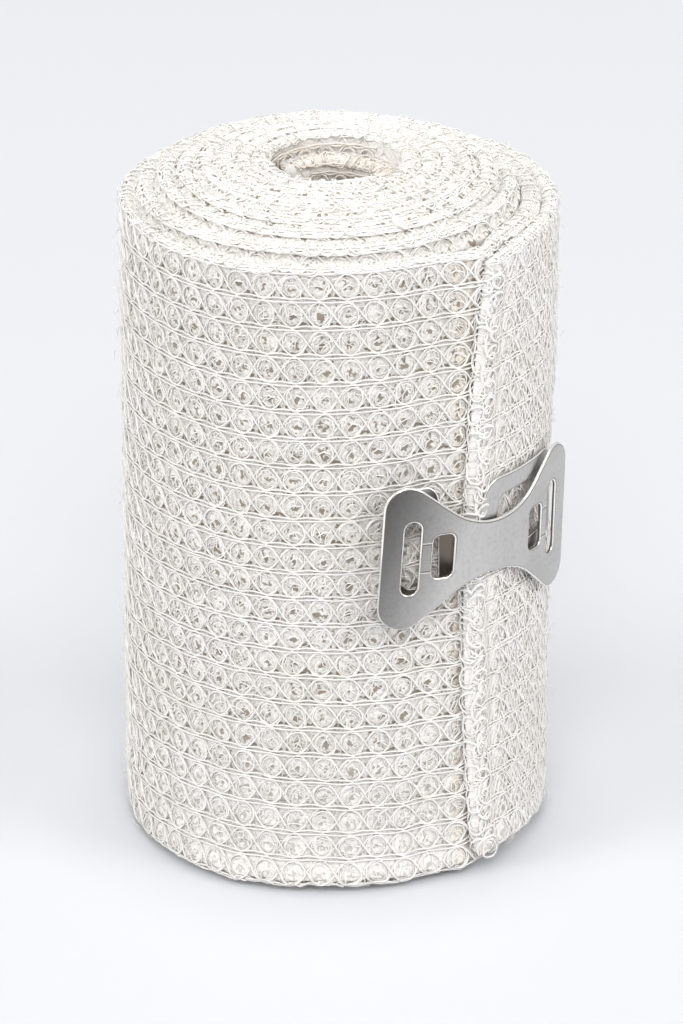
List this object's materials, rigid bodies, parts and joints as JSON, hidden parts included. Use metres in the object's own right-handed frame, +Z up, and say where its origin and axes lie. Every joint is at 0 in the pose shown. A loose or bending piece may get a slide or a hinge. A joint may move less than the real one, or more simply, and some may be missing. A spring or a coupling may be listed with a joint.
{
  "type": "crepe bandage roll with butterfly clip",
  "caption": "Roll of open-mesh stretch crepe bandage standing on end, its loose hemmed end held by a bent metal butterfly clip.",
  "frame": {"origin": "middle of the bounding box at the base, on the surface the roll stands on", "axes": "+Z up along the roll's axis; -Y is the side seen in the picture, with the loose end's edge and the clip to its right (+X)"},
  "size_m": [0.0664, 0.066, 0.1057],
  "materials": {
    "crepe_cloth": "matt off-white open-mesh cotton crepe",
    "clip_steel": "satin nickel-plated steel with bright edges"
  },
  "bodies": {
    "root": {"bandage_roll": "crepe_cloth", "clip_front_plate": "clip_steel", "clip_back_plate": "clip_steel"}
  },
  "joints": []
}
